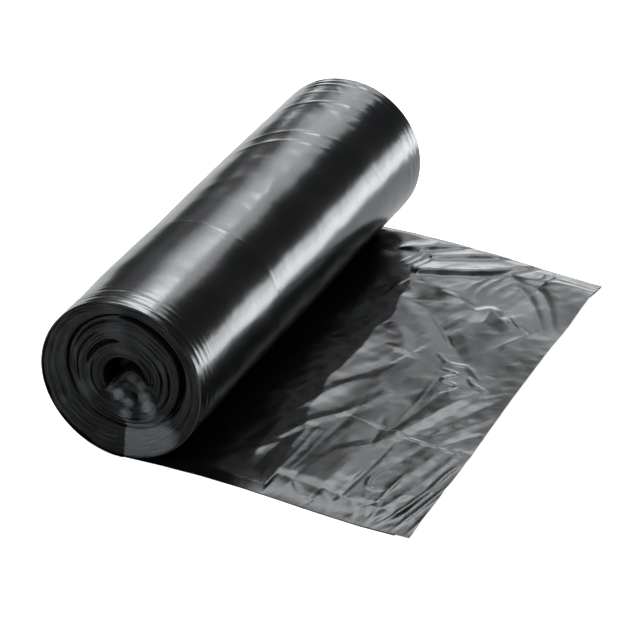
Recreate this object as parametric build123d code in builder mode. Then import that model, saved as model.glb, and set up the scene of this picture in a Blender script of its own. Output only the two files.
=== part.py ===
"""A roll of bin bags: one long web of folded film, wound on itself with no core tube.

The last turn comes off under the roll and lies flat, so the roll, its turns and the loose
end are one piece. The roll's axis runs along Y, the loose end is pulled out towards +X and
+Z is up. The origin is on the ground, under the middle of the roll.
"""

import os
from math import cos, radians, sin, sqrt

from build123d import *

# The web: bags joined end to end and folded lengthwise, in millimetres.
web_width = 260.0  # the folded width, which is also the roll's length
web_thickness = 1.0  # the folded plies of one bag, lying loose with air between them

# The roll
roll_radius = 40.0  # from the axis to the outside of the last turn, at its foot
flat_width = 12.0  # the roll is soft, and stands on a small flat
rim_radius = 0.7  # the folded edges of the last turn are rounded

# The loose end
loose_length = 145.0  # from the roll's axis to the free edge
loose_width = 251.0  # at the free edge: a little narrower, where the film gathers
loose_drift = 15.5  # how far the free edge has slid sideways, towards -Y

# The hollow that the winding spindle leaves, with the web's inner end bunched up in it
hollow_radius = 10.5
hollow_lift = 1.5  # the hollow's centre above the roll's axis
bunch_height = 6.0  # from the foot of the bunched film to its top fold
bunch_fold_radius = 0.8

# Each end of the roll: the outer turns stand proud and the inner ones have slipped inwards
collar_width = 9.0  # the ring of outer turns that stays in line
dish_depth = 3.0  # how far the turns beside the hollow have slipped
gap_width = 0.7  # the spiral gap where turns have come apart
gap_depth = 3.0  # below the dished turns
gap_spacing = 6.0  # from one turn of the gap to the next

# Worked out from the sizes above
end_y = web_width / 2
axis_height = sqrt(roll_radius**2 - (flat_width / 2) ** 2)
dish_radius = roll_radius - web_thickness - collar_width
arc_step = web_thickness / 4  # the last turn is four quarter arcs, each this much tighter
gap_step = gap_spacing / 2  # the gap is half circles, each this much tighter


def polar(radius, degrees):
    return Vector(radius * cos(radians(degrees)), radius * sin(radians(degrees)))


def gap_crossing(half_turns):
    """Where the spiral gap crosses the level of the axis, left and right by turns."""
    radius = dish_radius - half_turns * gap_step
    return radius if half_turns % 2 else -radius


with BuildPart() as bag_roll:
    # The wound turns. The last one is a spiral of quarter arcs, clockwise from its foot, and
    # ends one thickness nearer to the axis than it began.
    with BuildSketch(Plane.XZ):
        with BuildLine():
            centre = Vector(0, axis_height)
            radius = roll_radius
            for angle in (270, 180, 90, 0):
                ThreePointArc([centre + polar(radius, angle - turned) for turned in (0, 45, 90)])
                centre += polar(arc_step, angle - 90)
                radius -= arc_step
            foot = Vector(0, axis_height - roll_radius)
            Line(foot + (0, web_thickness), foot)
        make_face()
    extrude(amount=end_y, both=True)
    fillet(bag_roll.edges().filter_by(GeomType.CIRCLE), rim_radius)
    split(bisect_by=Plane.XY, keep=Keep.TOP)

    # The dished ends: a shallow cone cut into each, from the collar in to the hollow.
    with BuildSketch(Plane.YZ):
        with Locations((0, axis_height)):
            Polygon(
                (end_y, 0),
                (end_y - dish_depth, 0),
                (end_y - dish_depth, hollow_radius),
                (end_y, dish_radius),
                align=None,
            )
        mirror(about=Plane.YZ)
    revolve(axis=Axis((0, 0, axis_height), (0, 1, 0)), mode=Mode.SUBTRACT)

    # The gap between turns that have come apart, a spiral of half circles in each end.
    with BuildSketch(Plane.XZ.offset(end_y), Plane.XZ.offset(-end_y)):
        with BuildLine():
            for half_turn in range(int((dish_radius - hollow_radius) / gap_step)):
                start, end = gap_crossing(half_turn), gap_crossing(half_turn + 1)
                middle = ((start + end) / 2, axis_height + (end - start) / 2)
                ThreePointArc((start, axis_height), middle, (end, axis_height))
        trace(line_width=gap_width)
    extrude(amount=dish_depth + gap_depth, both=True, mode=Mode.SUBTRACT)

    # The hollow down the middle, over the bunched inner end.
    with BuildSketch(Plane.XZ) as hollow:
        with BuildLine():
            centre = Vector(0, axis_height + hollow_lift)
            left, top, right = (centre + polar(hollow_radius, angle) for angle in (215, 90, -35))
            ThreePointArc(left, top, right)
            Polyline(right, (0, left.Y + bunch_height), left)
        make_face()
        fillet(hollow.vertices(), bunch_fold_radius)
    extrude(amount=end_y, both=True, mode=Mode.SUBTRACT)

    # The loose end, from the foot of the roll to the free edge.
    with BuildSketch(Plane.XY):
        Polygon(
            (0, -end_y),
            (flat_width, -end_y),
            (loose_length, -loose_drift - loose_width / 2),
            (loose_length, -loose_drift + loose_width / 2),
            (flat_width, end_y),
            (0, end_y),
            align=None,
        )
    extrude(amount=web_thickness)

bag_roll.part.label = "bag_roll"
os.makedirs("parts", exist_ok=True)
export_step(bag_roll.part, "parts/bag_roll.step")
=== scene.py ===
"""The looks of a roll of black bin bags: wound film, its layered ends and its loose end."""

import math

import bpy
import numpy as np
from bpy.props import FloatProperty, FloatVectorProperty, IntProperty, PointerProperty
from bpy.types import Operator, Panel, PropertyGroup
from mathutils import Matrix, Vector


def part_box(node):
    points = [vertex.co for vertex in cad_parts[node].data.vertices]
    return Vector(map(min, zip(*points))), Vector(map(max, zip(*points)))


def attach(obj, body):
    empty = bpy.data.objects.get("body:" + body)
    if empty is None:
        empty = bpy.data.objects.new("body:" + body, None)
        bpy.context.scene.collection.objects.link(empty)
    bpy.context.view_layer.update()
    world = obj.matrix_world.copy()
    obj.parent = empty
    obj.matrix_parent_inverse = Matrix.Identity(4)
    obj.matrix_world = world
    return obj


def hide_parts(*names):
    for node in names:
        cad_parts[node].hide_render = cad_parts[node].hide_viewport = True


bl_info = {
    "name": "Bin bag roll",
    "version": (1, 0, 0),
    "blender": (4, 5, 0),
    "location": "3D View > Sidebar > Bag Roll",
    "description": "Winds black bag film on a roll and lays its loose end out flat",
    "category": "Object",
}

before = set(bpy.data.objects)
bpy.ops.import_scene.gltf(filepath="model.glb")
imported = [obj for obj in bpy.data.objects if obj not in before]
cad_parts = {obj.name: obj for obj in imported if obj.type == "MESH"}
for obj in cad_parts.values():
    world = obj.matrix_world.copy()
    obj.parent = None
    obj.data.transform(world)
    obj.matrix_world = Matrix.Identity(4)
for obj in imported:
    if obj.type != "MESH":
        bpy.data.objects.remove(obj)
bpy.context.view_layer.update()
NODE = "bag_roll"
LOW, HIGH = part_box(NODE)
MM = 0.001

ROLL_RADIUS = -LOW.x
WEB_WIDTH = 2 * HIGH.y
LOOSE_LENGTH = HIGH.x
TUCKED_LENGTH = 5 * MM  # how far the loose end starts behind the roll's foot
FLAT_HALF = 6 * MM  # half the small flat that the soft roll stands on
AXIS_HEIGHT = math.sqrt(ROLL_RADIUS**2 - FLAT_HALF**2)
RIM_RADIUS = 0.9 * MM  # the film turns over the roll's two rims
WEB_UV = "web"
MERGE_DISTANCE = 0.005 * MM


# ---------------------------------------------------------------- settings


class FilmSettings(PropertyGroup):
    """The black film itself"""

    colour: FloatVectorProperty(
        name="Colour",
        description="Colour of the film under its gloss",
        default=(0.0034, 0.0039, 0.0042),
        subtype="COLOR",
        min=0.0,
        max=1.0,
    )
    roughness: FloatProperty(
        name="Roughness",
        description="How far the film's gloss is blurred, on average",
        default=0.2,
        min=0.0,
        max=1.0,
        subtype="FACTOR",
    )
    crinkle: FloatProperty(
        name="Crinkle",
        description="Height of the finest creases in the film",
        default=0.04 * MM,
        unit="LENGTH",
        precision=6,
    )


class RollSettings(PropertyGroup):
    """How the film is wound"""

    web_thickness: FloatProperty(
        name="Web thickness",
        description="Folded plies of one turn, lying loose",
        default=1.0 * MM,
        unit="LENGTH",
        precision=5,
    )
    sag: FloatProperty(
        name="Sag",
        description="How much wider than round the soft roll lies",
        default=0.02,
        min=0.0,
        max=0.2,
        subtype="FACTOR",
    )
    turns: IntProperty(
        name="Slipped turns",
        description="Rings of turns at each end that have slipped in or out by themselves",
        default=34,
        min=4,
        max=60,
    )
    unevenness: FloatProperty(
        name="Unevenness",
        description="Height of the soft hollows between the turns' tight places",
        default=0.14 * MM,
        unit="LENGTH",
        precision=6,
    )


class LooseEndSettings(PropertyGroup):
    """How the loose end lies"""

    lift: FloatProperty(
        name="Lift",
        description="Height of the top ply above the ground where it lies flat",
        default=1.4 * MM,
        unit="LENGTH",
        precision=5,
    )
    crumple: FloatProperty(
        name="Crumple",
        description="Height of the large creases left from winding and handling",
        default=0.3375 * MM,
        unit="LENGTH",
        precision=6,
    )


class StudioSettings(PropertyGroup):
    """The camera and the main light"""

    azimuth: FloatProperty(
        name="Camera azimuth",
        description="Angle of the camera round the roll, from straight at its near end",
        default=math.radians(23.4),
        subtype="ANGLE",
    )
    elevation: FloatProperty(
        name="Camera elevation",
        description="Angle of the camera above the ground",
        default=math.radians(28.5),
        subtype="ANGLE",
    )
    distance: FloatProperty(
        name="Camera distance",
        description="From the camera to the point that it looks at",
        default=1.614,
        unit="LENGTH",
    )
    lens: FloatProperty(
        name="Lens",
        description="Focal length in millimetres",
        default=196.9,
        unit="CAMERA",
        min=10.0,
    )
    softbox: FloatProperty(
        name="Softbox",
        description="Brightness of the overhead softbox's face",
        default=3.2,
        min=0.0,
    )


# ---------------------------------------------------------------- film in code


def polar(radius, angle):
    """Steps across and up from the roll's axis, which lies along Y."""
    return radius * np.cos(angle), radius * np.sin(angle)


def waves(along, across, size, seed, count=36):
    """A smooth random surface of about unit height, with swells about this size."""
    draw = np.random.default_rng(seed)
    heading = draw.uniform(0, 2 * math.pi, count)
    number = 2 * math.pi / (size * draw.uniform(0.75, 1.6, count))
    phase = draw.uniform(0, 2 * math.pi, count)
    total = np.zeros_like(along)
    for turn, wave_number, start in zip(heading, number, phase):
        total += np.cos(
            wave_number * (along * math.cos(turn) + across * math.sin(turn)) + start
        )
    return total / math.sqrt(count / 2)


def swells(along, across, table, count=36):
    """Adds up waves of several sizes: rows of height and size in mm, stretch and seed."""
    total = np.zeros_like(along)
    for height, size, stretch, seed in table:
        total += height * MM * waves(along / stretch, across, size * MM, seed, count)
    return total


def above_zero(value, rounding):
    """The value itself above zero and nothing below it, with the corner between rounded."""
    return 0.5 * (value + np.sqrt(value**2 + rounding**2))


def tent(distance, width):
    """A crease's section: a crest with straight sides, just rounded at its top and feet."""
    d = np.abs(distance) / width
    rounding = 0.02
    return np.exp(-1.6 * (np.sqrt(d * d + rounding) - math.sqrt(rounding)) ** 1.15)


def creases(along, across, seed, count, length, width, height, heading, spread, region):
    """Straight creases scattered over a region, up and down, most of them near one heading.

    All lengths are in mm: the length and width of a usual crease, the height of the highest,
    and the region's two ends along and its two ends across.
    """
    draw = np.random.default_rng(seed)
    total = np.zeros_like(along)
    (low_a, high_a), (low_b, high_b) = np.array(region) * MM
    for _ in range(count):
        centre_a, centre_b = draw.uniform(low_a, high_a), draw.uniform(low_b, high_b)
        turn = heading + draw.normal(0, spread)
        half = length * MM * draw.uniform(0.4, 1.3) / 2
        breadth = width * MM * draw.uniform(0.6, 1.6)
        rise = height * MM * draw.uniform(0.3, 1.0) * draw.choice((-1, 1))
        a, b = along - centre_a, across - centre_b
        run = a * math.cos(turn) + b * math.sin(turn)
        off = b * math.cos(turn) - a * math.sin(turn)
        fade = np.clip(1 - (np.abs(run) / half) ** 2, 0, 1)
        total += rise * fade * tent(off, breadth * (0.35 + 0.65 * fade))
    return total


def smooth_path(points, per_span=6):
    """A smooth curve through a few points, as a finer row of points (Catmull-Rom)."""
    p = np.array(points, float) * MM
    p = np.vstack((2 * p[0] - p[1], p, 2 * p[-1] - p[-2]))
    t = np.linspace(0, 1, per_span, endpoint=False)[:, None]
    row = [
        0.5
        * (
            2 * p[i]
            + (p[i + 1] - p[i - 1]) * t
            + (2 * p[i - 1] - 5 * p[i] + 4 * p[i + 1] - p[i + 2]) * t**2
            + (3 * p[i] - p[i - 1] - 3 * p[i + 1] + p[i + 2]) * t**3
        )
        for i in range(1, len(p) - 2)
    ]
    return np.vstack((*row, p[-2]))


def fold(along, across, path, left, right, rise):
    """A fold along a path: how much it lifts each point, in metres.

    It slopes down straight from its crest, over a width of its own on the left and on the
    right as the path is walked, and it dies out towards the path's ends.
    """
    row = smooth_path(path)
    nearest = np.full_like(along, np.inf)
    share = np.zeros_like(along)
    width = np.zeros_like(along)
    for i, (start, end) in enumerate(zip(row[:-1], row[1:])):
        step = end - start
        a, b = along - start[0], across - start[1]
        t = np.clip((a * step[0] + b * step[1]) / step.dot(step), 0, 1)
        gap = np.hypot(a - t * step[0], b - t * step[1])
        closer = gap < nearest
        nearest = np.where(closer, gap, nearest)
        share = np.where(closer, (i + t) / (len(row) - 1), share)
        width = np.where(closer, np.where(step[0] * b > step[1] * a, left, right), width)
    fade = np.sin(np.pi * np.clip(share, 0, 1)) ** 0.6
    crest_rounding, foot_rounding = 0.012, math.sqrt(0.025)
    reach = np.sqrt((nearest / (width * MM * (0.4 + 0.6 * fade))) ** 2 + crest_rounding)
    return rise * MM * fade * above_zero(1 - reach, foot_rounding)


def film_strip(name, rows, columns):
    """A flat strip of film, one unit square: X runs along the web and Y across it."""
    bpy.ops.object.select_all(action="DESELECT")
    bpy.ops.mesh.primitive_grid_add(x_subdivisions=rows, y_subdivisions=columns, size=1)
    strip = bpy.context.object
    strip.name = strip.data.name = name
    return strip


def shape_film(strip, place, web, facing):
    """Moves each vertex where place(u, v) says, and lays a UV map in metres of web on it.

    Its faces are turned to point the way that facing(x, y, z) says.
    """
    mesh = strip.data
    flat = np.empty(len(mesh.vertices) * 3)
    mesh.vertices.foreach_get("co", flat)
    flat = flat.reshape(-1, 3)
    u, v = flat[:, 0] + 0.5, flat[:, 1] + 0.5
    spot = np.column_stack(place(u, v))
    mesh.vertices.foreach_set("co", spot.ravel())
    corner = np.empty(len(mesh.loops), dtype=np.int32)
    mesh.loops.foreach_get("vertex_index", corner)
    along, across = web(u, v)
    layer = mesh.uv_layers[0]
    layer.name = WEB_UV
    layer.data.foreach_set("uv", np.column_stack((along[corner], across[corner])).ravel())
    mesh.update()
    normal = np.empty(len(mesh.vertices) * 3)
    mesh.vertices.foreach_get("normal", normal)
    out = np.column_stack(np.broadcast_arrays(*facing(*spot.T)))
    bpy.ops.object.mode_set(mode="EDIT")
    bpy.ops.mesh.select_all(action="SELECT")
    if (normal.reshape(-1, 3) * out).sum() < 0:
        bpy.ops.mesh.flip_normals()
    bpy.ops.mesh.remove_doubles(threshold=MERGE_DISTANCE)
    bpy.ops.object.mode_set(mode="OBJECT")
    bpy.ops.object.shade_smooth()


def finish_piece(piece, material):
    """Gives a piece its material and its body, and hides the CAD node that it stands for."""
    piece.data.materials.clear()
    piece.data.materials.append(material)
    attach(piece, "root")
    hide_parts(NODE)


# ---------------------------------------------------------------- materials


class Wire:
    """A shader socket that takes part in sums: each operator adds its own Math node.

    A wire with no socket is the start of a material's tree, from which nodes are added.
    """

    def __init__(self, tree, socket):
        self.tree = tree
        self.socket = socket

    def node(self, kind, settings=(), output=0, **inputs):
        """Adds a node, with its settings first, and joins values or wires to its sockets."""
        made = self.tree.nodes.new(kind)
        for key, value in dict(settings).items():
            setattr(made, key, value)
        for key, value in inputs.items():
            socket = made.inputs[int(key[1:])] if key[0] == "_" else made.inputs[key]
            if isinstance(value, Wire):
                self.tree.links.new(value.socket, socket)
            else:
                socket.default_value = value
        return Wire(self.tree, made.outputs[output])

    def maths(self, operation, *terms):
        """Adds a Math node, whose terms are numbers or wires."""
        return self.node(
            "ShaderNodeMath",
            {"operation": operation},
            **{f"_{i}": term for i, term in enumerate(terms)},
        )

    def clamp(self):
        """The same value, kept between 0 and 1."""
        return self.maths("MINIMUM", self.maths("MAXIMUM", self, 0.0), 1.0)

    def __add__(self, other):
        return self.maths("ADD", self, other)

    def __sub__(self, other):
        return self.maths("SUBTRACT", self, other)

    def __mul__(self, other):
        return self.maths("MULTIPLY", self, other)

    def __rsub__(self, other):
        return self.maths("SUBTRACT", other, self)

    __radd__ = __add__
    __rmul__ = __mul__


def new_material(name):
    """A material, its tree, its shader and the start of its nodes."""
    material = bpy.data.materials.new(name)
    material.use_nodes = True
    tree = material.node_tree
    return material, tree, tree.nodes["Principled BSDF"], Wire(tree, None)


# How fine the film's smallest creases and its faint smudges are, per metre of web, and how much
# the smudges change the roughness.
CRINKLE_SCALE = 420.0
SMUDGE_SCALE = 45.0
SMUDGE_SPREAD = 0.1


def film_material(name, settings, index, softness):
    """Glossy black film, with a refractive index and a softening of its gloss of its own."""
    material, tree, shader, start = new_material(name)
    web = start.node("ShaderNodeUVMap", {"uv_map": WEB_UV})
    crinkle = start.node(
        "ShaderNodeTexNoise", Vector=web, Scale=CRINKLE_SCALE, Detail=3.0, Roughness=0.6
    )
    smudge = start.node("ShaderNodeTexNoise", Vector=web, Scale=SMUDGE_SCALE, Detail=2.0)
    bump = start.node("ShaderNodeBump", Height=crinkle, Distance=settings.crinkle, Strength=1.0)
    even = settings.roughness + softness - SMUDGE_SPREAD / 2
    roughness = even + smudge * SMUDGE_SPREAD
    shader.inputs["Base Color"].default_value = (*settings.colour, 1)
    shader.inputs["IOR"].default_value = index
    tree.links.new(roughness.socket, shader.inputs["Roughness"])
    tree.links.new(bump.socket, shader.inputs["Normal"])
    return material


# The film where it is wound tight, and lying loose: name, refractive index and softening.
WOUND_FILM = ("wound_film", 1.5, 0.0)
LOOSE_FILM = ("loose_film", 1.3, 0.02)


def film(context, name, index, softness):
    """One of the two films, made when it is first asked for."""
    found = bpy.data.materials.get(name)
    return found or film_material(name, context.scene.bag_film, index, softness)


# The plies at the roll's ends: black, and a grey in which the reflections and highlights on the
# ends are painted.
PLY_BLACK = (0.004, 0.0046, 0.005, 1)
PAINTED_HIGHLIGHT_GREY = (0.16, 0.17, 0.18, 1)

# Their fine lines, which run round the roll: how fine they are, how much finer across the
# plies than along them, and how deep.
PLY_SCALE = 260.0
PLY_STRETCH = (1, 12, 1)
PLY_DEPTH = 0.05 * MM

# The painted reflection on the near end, a grey patch low on its right in place of the light that
# its
# plies reflect: X of its two sides, Z of its top, how ragged its outline is, and how softly each
# of the three sides fades.
REFLECTION_PATCH_SIDES = (0.2 * MM, 29 * MM)
REFLECTION_PATCH_TOP = 19.5 * MM
RAGGED = 1.6 * MM
LEFT_FADE, RIGHT_FADE, TOP_FADE = 0.8 * MM, 6 * MM, 2.5 * MM

# Painted highlights and reflections on the ends, grey spots where the plies and the crumpled film
# catch light: place across and up, reach, all in mm, and how much.
PAINTED_HIGHLIGHTS = (
    (-4, 74, 9, 0.20),
    (-3, 64, 7, 0.24),
    (0, 54, 5, 0.14),
    (-18, 31, 6, 0.30),
    (-29, 24, 3, 0.20),
    (19, 50, 5, 0.16),
    (-35, 44, 9, 0.10),
    (-2, 32, 3.2, 2.0),
    (2, 28, 3.2, 1.7),
    (11, 33, 3.6, 1.5),
    (13, 28, 4.0, 2.0),
    (1, 22, 3.6, 1.5),
    (5, 41, 3.0, 0.6),
    (9, 38, 3.0, 0.9),
    (-6, 34, 3.0, 0.6),
    (13, 22, 6, 0.80),
    (20, 22, 4, 0.70),
)


def painted_spot(x, z, across, up, reach):
    """A round soft patch of painted highlight on an end, strongest in its middle."""
    side = (x - across * MM) * (1 / (reach * MM))
    rise = (z - up * MM) * (1 / (reach * MM))
    return (1 - (side * side + rise * rise)).clamp()


def edge_material():
    """The film's folded edges: many thin plies side by side, with reflections and highlights
    painted on in grey.
    """
    found = bpy.data.materials.get("film_edges")
    if found:
        return found
    material, tree, shader, start = new_material("film_edges")
    web = start.node("ShaderNodeUVMap", {"uv_map": WEB_UV})
    lined = start.node("ShaderNodeVectorMath", {"operation": "MULTIPLY"}, _0=web, _1=PLY_STRETCH)
    plies = start.node(
        "ShaderNodeTexNoise", Vector=lined, Scale=PLY_SCALE, Detail=3.0, Roughness=0.6
    )
    bump = start.node("ShaderNodeBump", Height=plies, Distance=PLY_DEPTH, Strength=1.0)
    place = start.node("ShaderNodeTexCoord", output=3)
    x = start.node("ShaderNodeSeparateXYZ", output=0, Vector=place)
    y = start.node("ShaderNodeSeparateXYZ", output=1, Vector=place)
    z = start.node("ShaderNodeSeparateXYZ", output=2, Vector=place)
    ragged = (plies - 0.5) * RAGGED
    left = ((x + ragged - REFLECTION_PATCH_SIDES[0]) * (1 / LEFT_FADE)).clamp()
    right = ((REFLECTION_PATCH_SIDES[1] - x) * (1 / RIGHT_FADE)).clamp()
    upper = ((REFLECTION_PATCH_TOP - z + ragged + x * 0.05) * (1 / TOP_FADE)).clamp()
    near_end = (y * -100).clamp()  # 1 at the near end and 0 at the far one
    # painted reflection: the lower right of the near end turned grey, in place of the light that
    # its plies reflect
    painted_sheen = left * right * upper * near_end * (0.1 + plies * 1.5)
    share = 0.35 + near_end * 0.65  # the painted highlights are fainter at the far end
    # painted highlights and reflections: grey spots where the ends and the crumpled film in the
    # hollow catch light
    for across, up, reach, strength in PAINTED_HIGHLIGHTS:
        painted_sheen = painted_sheen + painted_spot(x, z, across, up, reach) * (plies * strength) * share
    # the black plies turned grey wherever reflections and highlights are painted
    colour = start.node(
        "ShaderNodeMix",
        {"data_type": "RGBA"},
        output=2,
        _0=painted_sheen.clamp(),
        _6=PLY_BLACK,
        _7=PAINTED_HIGHLIGHT_GREY,
    )
    tree.links.new(colour.socket, shader.inputs["Base Color"])
    tree.links.new(bump.socket, shader.inputs["Normal"])
    shader.inputs["Roughness"].default_value = 0.4
    shader.inputs["IOR"].default_value = 1.33
    return material


# ---------------------------------------------------------------- pieces


# Narrow folds that run round the roll: place along the axis at the top in mm, drift in mm a
# degree towards the nip, half width and height in mm.
RINGS = (
    (-125.0, 0.0, 0.9, 0.34),
    (-121.4, 0.012, 0.8, 0.30),
    (-118.0, 0.010, 0.8, 0.24),
    (-114.4, 0.004, 1.0, 0.10),
    (-43.8, 0.0, 0.9, 0.12),
    (52.0, 0.30, 1.7, 0.18),
    (63.0, 0.27, 1.7, 0.2),
    (100.0, 0.19, 1.4, 0.18),
    (112.0, 0.05, 1.0, 0.12),
    (121.6, 0.0, 0.9, 0.26),
    (125.0, 0.0, 0.8, 0.20),
)

# Smaller swells of the last turn: height and size in mm, stretch round the roll, and seed.
TURN_SWELLS = ((0.06, 38, 1.0, 7), (0.018, 14, 2.0, 4), (0.004, 6, 1.0, 5))

# Its creases: seed, count, length, width and height in mm, heading and its spread, and the
# region, round the roll and along it, in mm.
TURN_CREASES = (
    (6, 60, 22, 1.6, 0.05, 0.25, 0.6, ((-60, 190), (-120, 125))),
    (8, 26, 15, 2.0, 0.13, 0.0, 0.45, ((42, 76), (86, 126))),
    (9, 12, 26, 7.0, 0.22, 0.5, 0.7, ((46, 74), (-20, 66))),
)
TURN_ANGLE = math.radians(354)


def ring_fold(angle, across, place, drift, width, rise):
    """One ring fold's height. Those that drift grow fainter down the roll's front."""
    turned = 90 - np.degrees(angle)
    centre = place + drift * turned + 0.5 * np.sin(angle * 2 + place)
    strength = 0.75 + 0.25 * np.sin(angle * 1.5 + place * 0.7)
    if drift > 0.1:
        strength = strength * (0.3 + 0.7 * np.clip((np.degrees(angle) - 58) / 14, 0, 1))
    return rise * MM * strength * tent(across - centre * MM, width * MM)


def rim(v):
    """Place across the web, and how far the film dips in where it turns over the roll's rim."""
    turn = 0.012  # the share of the web at each side that turns over
    edge = np.clip((np.abs(v - 0.5) - (0.5 - turn)) / turn, 0, 1)
    inner = WEB_WIDTH / 2 - RIM_RADIUS
    side = np.sign(v - 0.5)
    flat = np.abs(v - 0.5) / (0.5 - turn) * inner
    across = np.where(edge > 0, inner + RIM_RADIUS * np.sin(edge * math.pi / 2), flat)
    return side * across, RIM_RADIUS * (1 - np.cos(edge * math.pi / 2))


class BAGROLL_OT_last_turn(Operator):
    """Winds the last turn of film round the roll"""

    bl_idname = "bagroll.last_turn"
    bl_label = "Last turn"
    bl_options = {"REGISTER", "UNDO"}

    def execute(self, context):
        roll = context.scene.bag_roll
        strip = film_strip("last_turn", 300, 290)

        def place(u, v):
            angle = math.radians(270) - u * TURN_ANGLE
            across, dip = rim(v)
            radius = ROLL_RADIUS - roll.web_thickness * u - dip
            arc = angle * ROLL_RADIUS
            rise = roll.unevenness * waves(arc, across, 80 * MM, 3)
            rise += swells(arc, across, TURN_SWELLS)
            for ring in RINGS:
                rise += ring_fold(angle, across, *ring)
            for row in TURN_CREASES:
                rise += creases(arc, across, *row)
            radius = radius + rise - roll.unevenness
            x, z = polar(radius, angle)
            x = x * (1 + roll.sag)
            # where it comes round to the roll's foot again, it lies on the loose end
            lowest = 0.1 * MM + (u > 0.5) * roll.web_thickness
            return x, across, np.maximum(z + AXIS_HEIGHT, lowest)

        shape_film(
            strip,
            place,
            lambda u, v: (u * 2 * math.pi * ROLL_RADIUS, v * WEB_WIDTH),
            lambda x, y, z: (x, 0 * y, z - AXIS_HEIGHT),
        )
        finish_piece(strip, film(context, *WOUND_FILM))
        return {"FINISHED"}


# How the nested turns lie at an end, from the hollow outwards: their radius, how far in from
# the end they sit, and where their centre is across and up, all in mm.
NESTING = (
    (9.0, 15.0, -0.4, 38.6),
    (9.7, 8.0, -0.4, 38.7),
    (10.6, 4.8, -0.4, 38.8),
    (12.5, 3.4, -0.3, 39.1),
    (15.0, 2.3, -0.2, 39.6),
    (17.2, 2.6, -0.1, 40.2),
    (18.4, 2.7, 0.0, 40.6),
    (21.0, 1.5, 0.4, 41.6),
    (24.0, 1.3, 1.0, 42.6),
    (26.6, 2.4, 1.5, 43.3),
    (28.4, 2.7, 1.7, 43.4),
    (30.2, 1.8, 1.5, 42.8),
    (32.5, 0.9, 1.0, 41.6),
    (35.5, 0.5, 0.4, 40.4),
    (37.6, 0.5, 0.1, 39.8),
    (38.8, 1.0, 0.0, 39.6),
)

# Turns that have slipped in and left a dark gap: radius in mm, from and to which angle in
# degrees, counted from the side that the web leaves by, half width and depth in mm.
GAPS = (
    (27.6, -55, 96, 1.15, 5.0),
    (28.7, 70, 215, 0.55, 2.2),
    (26.0, 92, 160, 0.5, 1.6),
    (32.2, 145, 215, 1.3, 1.0),
    (35.6, 100, 250, 0.5, 0.7),
    (33.4, -60, 60, 0.5, 0.7),
    (18.0, 94, 168, 0.75, 2.4),
    (22.8, 120, 200, 0.5, 1.2),
    (22.4, -40, 34, 0.5, 1.6),
    (14.2, -20, 60, 1.0, 1.6),
    (18.6, -30, 40, 0.45, 1.2),
    (28.3, 230, 306, 0.5, 1.5),
    (25.2, 225, 312, 0.5, 1.5),
    (22.0, 215, 300, 0.45, 1.2),
    (31.6, 225, 262, 1.4, 0.9),
    (15.4, 150, 235, 0.5, 1.4),
)

# The fine grooves between turns: how far apart, how wide and how deep they are.
GROOVE_PITCH = 1.7 * MM
GROOVE_WIDTH = 0.28 * MM
GROOVE_DEPTH = 0.30 * MM
SLIP = 0.12 * MM  # how far a turn slips by itself, up or down


def slipped(radius, angle, at, start, end, half, depth):
    """How far in a slipped turn lies: a round-bottomed gap that fades out at its two ends."""
    middle = math.radians(start + end) / 2
    reach = math.radians(end - start) / 2
    off = np.abs((angle - middle + math.pi) % (2 * math.pi) - math.pi) / reach
    fade = np.sqrt(np.clip(1 - off * off, 0, 1))
    gap = np.abs(radius - at * MM) / (half * MM * (0.25 + 0.75 * fade))
    return depth * MM * fade * np.exp(-(gap**3))


class BAGROLL_OT_wound_ends(Operator):
    """Nests the folded edges of all the turns that show at the roll's two ends"""

    bl_idname = "bagroll.wound_ends"
    bl_label = "Wound ends"
    bl_options = {"REGISTER", "UNDO"}

    def execute(self, context):
        roll = context.scene.bag_roll
        for side, name, seed in ((-1, "wound_end_near", 21), (1, "wound_end_far", 22)):
            self.nest(roll, side, name, seed)
        return {"FINISHED"}

    def nest(self, roll, side, name, seed):
        """One end: the near one where the side is -1, and the far one where it is 1."""
        strip = film_strip(name, 370, 250)
        nested, recess, centre_x, centre_z = np.array(NESTING).T * MM
        draw = np.random.default_rng(seed)
        knots = np.linspace(nested[0], ROLL_RADIUS, roll.turns)
        slip = draw.normal(0, SLIP, len(knots))
        outer = ROLL_RADIUS - RIM_RADIUS - 0.4 * roll.web_thickness
        turned = 0.0 if side < 0 else 2.4  # the far end's gaps lie elsewhere
        uneven = ((0.2, 15, 1.0, seed + 4), (0.02, 4, 1.0, seed + 5))

        def place(u, v):
            angle = u * 2 * math.pi
            radius = outer - (outer - nested[0]) * v
            x, z = polar(radius, angle)
            inward = np.interp(radius, nested, recess)
            for gap in GAPS:
                inward += slipped(radius, angle + turned, *gap)
            wander = 0.22 * waves(x, z, 22 * MM, seed + 2, 24)
            phase = radius / GROOVE_PITCH + u + wander
            line = np.abs(phase - np.rint(phase)) * GROOVE_PITCH
            strength = np.clip(0.45 + 0.5 * waves(x, z, 17 * MM, seed + 3, 24), 0.05, 1.5)
            inward += GROOVE_DEPTH * strength * np.exp(-((line / GROOVE_WIDTH) ** 2))
            inward += np.interp(radius + wander * MM, knots, slip)
            inward += swells(x, z, uneven, 24)
            inward = np.maximum(inward, 0.15 * MM)
            x = x * (1 + roll.sag * radius / outer) + np.interp(radius, nested, centre_x)
            z = z + np.interp(radius, nested, centre_z)
            lowest = 0.3 * MM + (outer - radius) * 0.8
            return x, side * (WEB_WIDTH / 2 - inward), lowest + above_zero(z - lowest, 0.4 * MM)

        shape_film(
            strip,
            place,
            lambda u, v: (u * 50 * math.pi * MM, v * (outer - nested[0])),
            lambda x, y, z: (0, side, 0),
        )
        finish_piece(strip, edge_material())


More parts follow.
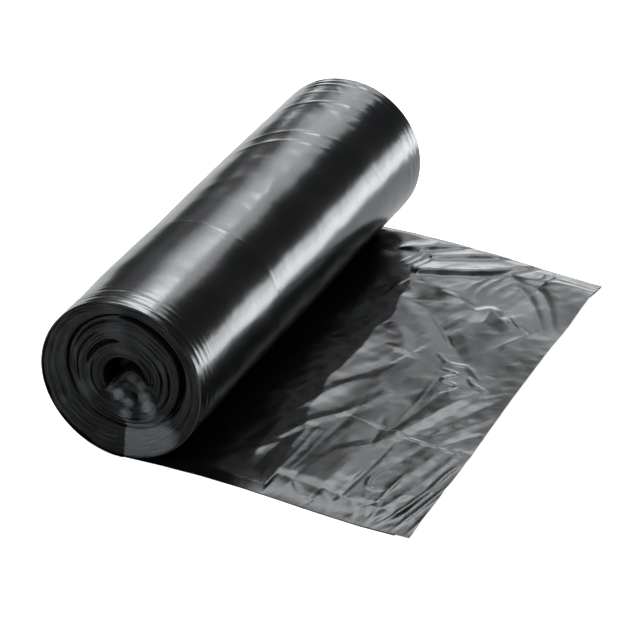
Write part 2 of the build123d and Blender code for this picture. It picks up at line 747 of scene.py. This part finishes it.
# Folds of the crumpled film inside the hollow: X and Z of each path's points, the widths of its
# two sides, and how far it stands out of the hollow, in mm.
BUNCH_FOLDS = (
    (((-7, 28.5), (-2, 29.0), (4, 27.5)), 4.6, 1.8, 2.4),
    (((7, 27.0), (12, 26.8), (17, 29)), 5.6, 2.0, 2.9),
    (((-4, 19.8), (1, 19.4), (6, 20.5)), 4.0, 1.8, 2.0),
    (((-8, 33), (-4, 36.5), (-1, 40), (2, 42.5)), 2.0, 2.6, 1.8),
    (((2, 43), (7, 39.6), (12, 35), (16, 31)), 2.6, 2.0, 1.8),
    (((-2, 36.5), (2, 38), (6, 36)), 1.6, 1.6, -1.6),
    (((4, 34), (6, 31.5), (6.5, 26)), 1.7, 1.7, -2.2),
    (((-1, 34), (2, 33), (4, 30)), 1.8, 1.8, 1.3),
    (((8, 36), (9, 33), (8, 30)), 1.8, 1.8, 1.0),
    (((8, 24.5), (13, 24), (17, 26.5)), 1.3, 1.3, -1.0),
    (((-9, 31), (-6, 27), (-4, 24)), 1.8, 1.8, -1.2),
)

# The upper edge of that crumpled film, above which the hollow is open: X and Z in mm.
BUNCH_TOP = ((-12, -8, -4, -1, 2, 5, 9, 12), (31, 34, 38, 42, 44.5, 45, 42.5, 39))

# Its creases: count, length, width and height in mm, heading and its spread, and the region in mm.
BUNCH_CREASES = (14, 10, 1.8, 0.45, math.radians(115), 0.7, ((-12, 18), (19, 46)))
BUNCH_RADIUS = 16 * MM
BUNCH_CENTRE = (3.0 * MM, AXIS_HEIGHT - 5.0 * MM)
BUNCH_DEPTH = 2.4 * MM  # how far in from the roll's end it lies
HOLLOW_DEPTH = 14 * MM  # how much further in it lies where the hollow is open


class BAGROLL_OT_bunches(Operator):
    """Crumples the innermost turns into the hollow at each end"""

    bl_idname = "bagroll.bunches"
    bl_label = "Bunched inner film"
    bl_options = {"REGISTER", "UNDO"}

    def execute(self, context):
        for side, name, seed in ((-1, "bunch_near", 31), (1, "bunch_far", 32)):
            self.crumple(side, name, seed)
        return {"FINISHED"}

    def crumple(self, side, name, seed):
        """The bunch at the near end where the side is -1, and at the far one where it is 1."""
        strip = film_strip(name, 240, 110)

        def place(u, v):
            angle = u * 2 * math.pi
            x, z = polar(BUNCH_RADIUS * (1 - v), angle)
            x, z = x + BUNCH_CENTRE[0], z + BUNCH_CENTRE[1]
            top = np.interp(x / MM, *BUNCH_TOP) * MM
            open_ = np.clip((z - top + 0.6 * MM) / (2.6 * MM), 0, 1)
            sunk = BUNCH_DEPTH + HOLLOW_DEPTH * open_ * open_ * (3 - 2 * open_)
            sunk += 3.0 * MM * np.clip((0.2 - v) / 0.2, 0, 1)
            sunk += 0.45 * MM * waves(x, z, 9 * MM, seed, 20)
            sunk += creases(x, z, seed + 4, *BUNCH_CREASES)
            for path, left, right, rise in BUNCH_FOLDS:
                sunk -= fold(x, z, path, left, right, rise)
            sunk = np.maximum(sunk, 0.6 * MM)
            return x, side * (WEB_WIDTH / 2 - sunk), z

        shape_film(
            strip,
            place,
            lambda u, v: (u * 60 * MM, v * BUNCH_RADIUS),
            lambda x, y, z: (0, side, 0),
        )
        finish_piece(strip, edge_material())


# The loose end's outline: where its near and far folded edges lie at these distances.
EDGE_X = np.array([-5, 0, 20, 40, 60, 80, 100, 120, 145]) * MM
NEAR_EDGE = np.array([-129, -129.4, -129.8, -131, -133, -136, -139.2, -141.8, -143]) * MM
FAR_EDGE = np.array([129, 128.5, 127.8, 126.8, 125.4, 122.6, 119, 115, 110.5]) * MM

# Its swells and scattered creases, given as on the last turn: large creases, whose height is a
# setting that comes between these two rows, then fine ones and small puckers at the near edge.
LOOSE_SWELLS = ((0.25, 46, 1.0, 11), (0.03, 9, 1.0, 14))
LOOSE_REGION = ((30, 145), (-140, 125))
LARGE_CREASES = (12, 50, 40, 5.0)
LARGE_HEADING = (math.radians(70), 0.6, LOOSE_REGION)
FINE_CREASES = (
    (13, 160, 14, 1.8, 0.1, math.radians(70), 0.9, LOOSE_REGION),
    (16, 34, 11, 1.8, 0.3, 1.25, 0.7, ((72, 135), (-142, -121))),
)

# The web is a flattened sleeve. The first part of its columns is its top ply, and the rest goes
# round its far folded edge and back under it.
TOP_SHARE = 0.94

# The line past which the film comes down to lie flat, given as Y and the line's X there, in mm,
# and how far the line wanders.
LIFT_LINE = (
    (-140, -112, -95, -70, -40, 0, 30, 60, 78, 92, 120),
    (71, 70, 68, 63, 60, 61, 63, 62, 57, 54, 52),
)
LINE_WANDER = 1.6 * MM
COMING_DOWN = 20 * MM  # how far past the line the film lies flat
STEEPNESS = 0.0025  # how fast it comes down, in mm per square mm
SINK = 0.4 * MM  # how far it sinks again on the roll's side of the line
SINK_REACH = 7 * MM

# The near edge droops to the ground over this width: X, and the width there, in mm.
DROOP = ((70, 71.6), (6, 15))
FOLD_SHARE = 0.85  # how much of their height the folds below keep
FREE_EDGE_DROP = 0.5 * MM  # how much lower the top ply lies at the free edge
UNDER_PLY = 0.15 * MM  # the under ply's height above the ground
BETWEEN_PLIES = 0.4 * MM  # the top ply lies above this height, and the under ply's flat below
UNDER_SHORT = 7 * MM  # how far the under ply is drawn back from the free edge

# Folds in the loose end: X and Y of each path's points, the widths of its left and right sides
# as the path is walked, and how far it lifts the film or, below zero, lets it down, in mm.
FOLDS = (
    # the fan of pleats that starts where the web leaves the roll's far end: each is steep on
    # its near side and long on its far side
    (((38, 106), (46, 109), (58, 116), (72, 126)), 9.0, 4.0, 1.7),
    (((56, 103), (66, 109), (80, 116), (98, 124)), 8.0, 4.0, 1.8),
    (((54, 84), (62, 87), (84, 96), (106, 118)), 13.0, 5.0, 2.8),
    (((44, 88), (48, 97), (50, 110)), 1.8, 1.8, 0.5),
    (((49, 87), (52.5, 97), (54, 109)), 1.8, 1.6, 0.5),
    (((55, 86), (57, 96), (58, 107)), 1.6, 1.6, 0.5),
    (((59, 86), (56, 77), (53, 67), (53, 56)), 1.8, 1.8, 0.4),
    # the bulge below it, with a crumpled S for its near edge
    (((28, 92), (59, 79), (79, 68), (93, 60), (107, 54.5), (128, 43)), 38.0, 70.0, 3.0),
    (((75, 69), (90, 62), (98.5, 57), (104.5, 62), (110.5, 56.5), (122, 46)), 4.6, 10.0, 1.4),
    (((92, 62), (88, 72), (87, 88)), 20.0, 9.0, 0.8),
    (((87, 72), (88, 82), (91, 94)), 2.2, 2.2, 0.35),
    (((93, 68), (93, 80), (95, 92), (99, 106)), 2.4, 2.2, 0.4),
    (((99, 72), (100, 84), (104, 98)), 2.8, 2.6, 0.35),
    (((104, 70), (107, 80), (108, 92)), 2.6, 2.8, 0.25),
    (((104, 94), (112, 88), (122, 74), (136, 50)), 3.2, 3.0, -0.4),
    (((113, 97), (122, 88), (130, 74), (141, 52)), 3.4, 3.0, -0.4),
    (((112, 114), (115, 107), (114, 101)), 1.4, 1.4, 0.4),
    (((117, 114), (120, 107), (118, 101)), 1.4, 1.4, 0.4),
    (((116, 60), (122, 52), (131, 46)), 2.0, 2.0, 0.4),
    # a ledge along the far edge
    (((98, 105), (112, 101), (126, 102), (152, 97)), 13.0, 4.0, 1.1),
    (((122, 107), (134, 104), (148, 101)), 2.0, 1.6, 0.5),
    # the long soft dip across the middle
    (((52, 58), (66, 56), (78, 50), (88, 40), (98, 26), (112, 8)), 8.0, 10.0, -1.1),
    (((76, 50), (88, 38), (100, 22)), 2.0, 2.2, -0.5),
    # the rise to the free edge, and one more at the far free corner
    (((158, 130), (152, 95), (150, 45), (149, 4), (150, -34), (152, -66)), 6.0, 42.0, 4.0),
    (((118, 98), (130, 97), (142, 95), (156, 92)), 8.0, 38.0, 2.0),
    # small crumples in the middle
    (((70, 12), (80, 9), (90, 5)), 3.0, 3.0, 0.5),
    (((64, 30), (74, 22), (82, 8)), 6.0, 7.0, 0.8),
    (((103, 1), (112, -2), (108, -9), (116, -14), (110, -22)), 1.8, 1.8, 0.8),
    (((96, 14), (104, 7), (114, 6), (124, -4)), 2.4, 2.2, 0.5),
    (((118, -2), (123, -9), (133, -15)), 2.0, 2.0, 0.6),
    (((104, -2), (104, -30), (103, -58)), 1.6, 1.6, 0.18),
    # slanting folds towards the roll's near end
    (((80, -2), (70, -18), (60, -34)), 5.0, 7.0, -0.7),
    (((70, -26), (63, -42), (56, -62)), 5.0, 4.0, 0.55),
    (((79, -52), (68, -68), (58, -90)), 4.5, 5.0, 0.7),
    (((90, -28), (84, -42), (74, -60)), 5.0, 6.0, 0.6),
    (((129, -14), (120, -30), (110, -55), (101, -78), (86, -92)), 6.0, 8.0, 1.2),
    (((141, -18), (128, -40), (113, -66)), 6.0, 6.0, -0.6),
    (((144, -34), (134, -47), (122, -62)), 5.0, 6.0, 0.5),
    (((143, -50), (136, -58), (128, -70)), 4.0, 4.0, -0.5),
    # straight creases from folding: one along the pull, the rest along the roll
    (((70, -52), (92, -59), (120, -67), (146, -71)), 1.2, 1.2, 0.45),
    (((72, -70), (72, -96), (71.5, -124)), 1.5, 1.5, 0.15),
    (((77, -74), (76.5, -98), (75.5, -124)), 1.6, 1.6, 0.12),
    (((103, -72), (98, -96), (94, -128)), 5.0, 6.0, 0.5),
    (((109, -70), (108, -92), (106, -114), (104, -136)), 2.0, 2.2, -0.5),
    (((124, -66), (117, -88), (112, -106)), 5.0, 5.0, -0.7),
    (((114, -92), (111.5, -106), (114, -114), (123, -112)), 1.6, 1.6, 0.6),
    (((131, -72), (126, -94), (121, -116)), 4.5, 4.0, 0.8),
    (((124, -96), (123, -110), (121, -126)), 1.4, 1.4, 0.4),
    # gathers that run to the near corner
    (((140, -66), (135, -92), (130, -114), (122, -138)), 3.0, 3.0, 0.6),
    (((147, -68), (141, -86), (138, -108), (133, -128), (125, -144)), 2.2, 2.0, 0.9),
    (((148, -84), (144, -104), (140, -124), (134, -146)), 1.8, 1.8, 0.7),
    (((150, -100), (147, -118), (142, -144)), 1.7, 1.7, 0.7),
    # the near folded edge bends down, under puckers
    (((60, -114), (84, -116), (106, -121), (136, -125)), 60.0, 16.0, 2.7),
    (((80, -122), (86, -128), (93, -137)), 2.2, 1.8, 0.35),
    (((94, -124), (101, -131), (104, -141)), 2.2, 1.8, 0.35),
    (((108, -124), (114, -132), (117, -143)), 2.4, 2.0, 0.4),
    (((121, -120), (124, -131), (122, -142)), 2.2, 2.0, 0.4),
)


class BAGROLL_OT_loose_end(Operator):
    """Lays the loose end of the web out flat, with its folds and creases"""

    bl_idname = "bagroll.loose_end"
    bl_label = "Loose end"
    bl_options = {"REGISTER", "UNDO"}

    def execute(self, context):
        loose = context.scene.loose_end
        strip = film_strip("loose_end", 240, 400)

        def place(u, v):
            under = v > TOP_SHARE
            span = np.where(under, (1 - v) / (1 - TOP_SHARE), v / TOP_SHARE)
            x = u * (LOOSE_LENGTH + TUCKED_LENGTH) - TUCKED_LENGTH
            low = np.interp(x, EDGE_X, NEAR_EDGE)
            high = np.interp(x, EDGE_X, FAR_EDGE)
            y = low + (high - low) * span
            short = np.clip((1 - span) * 8, 0, 1) * np.clip((x - 120 * MM) / (25 * MM), 0, 1)
            x = np.where(under, x - UNDER_SHORT * short, x)
            height = self.top_ply(loose, x, y)
            droop = np.interp(x / MM, *DROOP) * MM
            height *= 0.1 + 0.9 * np.clip((y - low) / droop, 0, 1)
            height *= 0.35 + 0.65 * np.clip((high - y) / (5 * MM), 0, 1)
            height = height * np.clip(x / (20 * MM), 0.0, 1)
            height = BETWEEN_PLIES + above_zero(height, 0.3 * MM)
            ply = UNDER_PLY + 0.04 * MM * waves(x, y, 20 * MM, 15)
            edge = np.clip((high - y) / (1.5 * MM), 0, 1)
            z = np.where(under, ply + (height - ply) * (1 - np.sqrt(edge)), height)
            return x, y, np.maximum(z, 0.02 * MM)

        shape_film(
            strip,
            place,
            lambda u, v: (u * (LOOSE_LENGTH + TUCKED_LENGTH), v * WEB_WIDTH),
            lambda x, y, z: (0, 0, z - BETWEEN_PLIES),
        )
        finish_piece(strip, film(context, *LOOSE_FILM))
        return {"FINISHED"}

    def top_ply(self, loose, x, y):
        """The top ply's height above the ground, before its edges are let down."""
        run = np.clip((x - 75 * MM) / (70 * MM), 0, 1)
        height = loose.lift - FREE_EDGE_DROP * run + swells(x, y, LOOSE_SWELLS)
        height += creases(x, y, *LARGE_CREASES, loose.crumple / MM, *LARGE_HEADING)
        for row in FINE_CREASES:
            height += creases(x, y, *row)
        start = np.interp(y / MM, *LIFT_LINE) * MM
        start += LINE_WANDER * waves(y, 0 * y, 34 * MM, 17, 12)
        folds = sum(fold(x, y, *row[:3], row[3] * FOLD_SHARE) for row in FOLDS)
        # close to the roll the web is pulled almost flat, but for the pleats at its far end
        pleated = np.clip((y - 60 * MM) / (15 * MM), 0, 1)
        pulled = np.clip((x - start + 17 * MM) / (12 * MM), 0.2, 1)
        height += folds * np.maximum(pleated, pulled)
        to_come = np.clip(start + COMING_DOWN - x, 0, COMING_DOWN) / MM
        height += STEEPNESS * MM * to_come**2
        before = np.clip(start - x, 0, None) / SINK_REACH
        return height - SINK * (1 - np.exp(-before))


# The point that most of the lights face, and the tint of them all.
ROLL_MIDDLE = (0, 0, 0.04)
LIGHT_TINT = (0.945, 0.977, 1.0)

# The overhead softbox is a stack of panels, each wider than the one before, so that its left
# side fades out: how far each reaches.
SOFTBOX_REACH = (0.40, 0.50, 0.60, 0.72, 0.84, 0.96)

# The other panels: name, place, width and height, the brightness of the face and, where it isn't
# the roll's middle, the point that it faces.
PANELS = (
    ("wide_scrim", (-0.80, 2.60, 2.30), (3.2, 2.9), 0.15),
    ("wash", (-0.42, 2.9, 0.66), (1.8, 1.25), 0.78),
    ("horizon", (-0.98, 2.7, 0.34), (1.1, 0.66), 4.0),
    ("floor_glow", (0.62, 0.86, 0.001), (0.94, 1.5), 7.5, (0.62, 0.86, 1.0)),
    ("low_glow", (1.75, 2.25, 0.14), (1.0, 0.28), 7.0),
    ("floor_spill", (-0.90, 1.10, 0.001), (1.2, 2.2), 1.0, (-0.85, 1.10, 1.0)),
    ("high_box", (-0.78, 1.76, 2.30), (2.0, 0.95), 10.0),
    ("rear_glow", (-0.80, 2.47, 0.94), (0.50, 0.41), 3.0),
    ("front_fill", (-0.9, -1.6, 1.6), (1.6, 1.2), 2.5),
    ("top_fill", (-0.6, 1.1, 2.7), (2.0, 1.6), 1.0),
    ("overhead", (0.9, -0.35, 2.4), (1.5, 1.3), 2.2),
    ("side_fill", (2.3, -0.5, 0.9), (1.2, 0.8), 1.6),
)

# The floor and the air glow more for the camera than for the light that falls on the roll.
FLOOR_COLOUR = (0.86, 0.86, 0.86, 1)
FLOOR_SEEN, FLOOR_LIGHT = (0.92, 0.92, 0.92, 1), (0, 0, 0, 1)
AIR_SEEN, AIR_LIGHT = (0.97, 0.97, 0.97, 1), (0.07, 0.07, 0.07, 1)

CAMERA_AIM = (1.48, -1.06, 1.0)  # the point that the camera looks at, in roll radii


def seen_or_lit(start, seen, lit):
    """One colour for what the camera sees directly, and another for all other light."""
    direct = start.node("ShaderNodeLightPath", output="Is Camera Ray")
    return start.node(
        "ShaderNodeMix", {"data_type": "RGBA"}, output=2, _0=direct, _6=lit, _7=seen
    )


class BAGROLL_OT_studio(Operator):
    """Sets the floor, the soft lights and the camera"""

    bl_idname = "bagroll.studio"
    bl_label = "Studio"
    bl_options = {"REGISTER", "UNDO"}

    def execute(self, context):
        studio = context.scene.bag_studio
        scene = context.scene
        scene.view_settings.view_transform = "Standard"
        self.floor()
        self.world(scene)
        for layer, reach in enumerate(SOFTBOX_REACH):
            self.panel(
                f"softbox_{layer}",
                (0.12 - reach / 2, 2.42 + 0.02 * layer, 1.80 + 0.05 * layer),
                (0.82 + reach, 1.2 + 0.12 * layer),
                studio.softbox / len(SOFTBOX_REACH),
            )
        for panel in PANELS:
            self.panel(*panel)
        self.camera(scene, studio)
        return {"FINISHED"}

    def floor(self):
        """A wide pale floor."""
        bpy.ops.object.select_all(action="DESELECT")
        bpy.ops.mesh.primitive_plane_add(size=12, location=(0, 0, 0))
        floor = bpy.context.object
        floor.name = "studio_floor"
        material, tree, shader, start = new_material("pale_floor")
        shader.inputs["Base Color"].default_value = FLOOR_COLOUR
        shader.inputs["Roughness"].default_value = 0.9
        shader.inputs["Specular IOR Level"].default_value = 0.0
        shader.inputs["Emission Strength"].default_value = 1.0
        glow = seen_or_lit(start, FLOOR_SEEN, FLOOR_LIGHT)
        tree.links.new(glow.socket, shader.inputs["Emission Color"])
        floor.data.materials.append(material)

    def world(self, scene):
        """The pale air all round."""
        world = bpy.data.worlds.new("studio_air")
        world.use_nodes = True
        tree = world.node_tree
        background = tree.nodes["Background"]
        background.inputs["Strength"].default_value = 1.0
        glow = seen_or_lit(Wire(tree, None), AIR_SEEN, AIR_LIGHT)
        tree.links.new(glow.socket, background.inputs["Color"])
        scene.world = world

    def panel(self, name, place, size, brightness, target=ROLL_MIDDLE):
        """A flat light whose face has this brightness, turned towards a point."""
        light = bpy.data.lights.new(name, "AREA")
        light.shape = "RECTANGLE"
        light.size, light.size_y = size
        light.color = LIGHT_TINT
        light.energy = brightness * math.pi * size[0] * size[1]
        lamp = bpy.data.objects.new(name, light)
        lamp.location = place
        lamp.visible_camera = False
        aim = Vector(target) - Vector(place)
        lamp.rotation_mode = "QUATERNION"
        lamp.rotation_quaternion = aim.to_track_quat("-Z", "Y")
        bpy.context.collection.objects.link(lamp)

    def camera(self, scene, studio):
        """A long lens, looking down at the roll and its loose end."""
        lens = bpy.data.cameras.new("camera")
        lens.lens = studio.lens
        camera = bpy.data.objects.new("camera", lens)
        level = math.cos(studio.elevation)
        back = Vector(
            (
                math.sin(studio.azimuth) * level,
                -math.cos(studio.azimuth) * level,
                math.sin(studio.elevation),
            )
        )
        target = Vector(CAMERA_AIM) * ROLL_RADIUS
        camera.location = target + back * studio.distance
        camera.rotation_mode = "QUATERNION"
        camera.rotation_quaternion = (-back).to_track_quat("-Z", "Y")
        bpy.context.collection.objects.link(camera)
        scene.camera = camera


class BAGROLL_PT_panel(Panel):
    """The roll's pieces and sizes"""

    bl_idname = "BAGROLL_PT_panel"
    bl_label = "Bag Roll"
    bl_space_type = "VIEW_3D"
    bl_region_type = "UI"
    bl_category = "Bag Roll"

    def draw(self, context):
        layout = self.layout
        for label, group in (
            ("Film", context.scene.bag_film),
            ("Roll", context.scene.bag_roll),
            ("Loose end", context.scene.loose_end),
            ("Studio", context.scene.bag_studio),
        ):
            box = layout.box()
            box.label(text=label)
            for name in group.bl_rna.properties.keys():
                if name not in {"rna_type", "name"}:
                    box.prop(group, name)
        for operator in OPERATORS:
            layout.operator(operator.bl_idname)


SETTINGS = {
    "bag_film": FilmSettings,
    "bag_roll": RollSettings,
    "loose_end": LooseEndSettings,
    "bag_studio": StudioSettings,
}
OPERATORS = (
    BAGROLL_OT_last_turn,
    BAGROLL_OT_wound_ends,
    BAGROLL_OT_bunches,
    BAGROLL_OT_loose_end,
    BAGROLL_OT_studio,
)


def register():
    for name, group in SETTINGS.items():
        bpy.utils.register_class(group)
        setattr(bpy.types.Scene, name, PointerProperty(type=group))
    for operator in OPERATORS:
        bpy.utils.register_class(operator)
    bpy.utils.register_class(BAGROLL_PT_panel)


def unregister():
    bpy.utils.unregister_class(BAGROLL_PT_panel)
    for operator in reversed(OPERATORS):
        bpy.utils.unregister_class(operator)
    for name, group in SETTINGS.items():
        delattr(bpy.types.Scene, name)
        bpy.utils.unregister_class(group)


def main():
    register()
    bpy.ops.bagroll.last_turn()
    bpy.ops.bagroll.wound_ends()
    bpy.ops.bagroll.bunches()
    bpy.ops.bagroll.loose_end()
    bpy.ops.bagroll.studio()


if __name__ == "__main__":
    main()
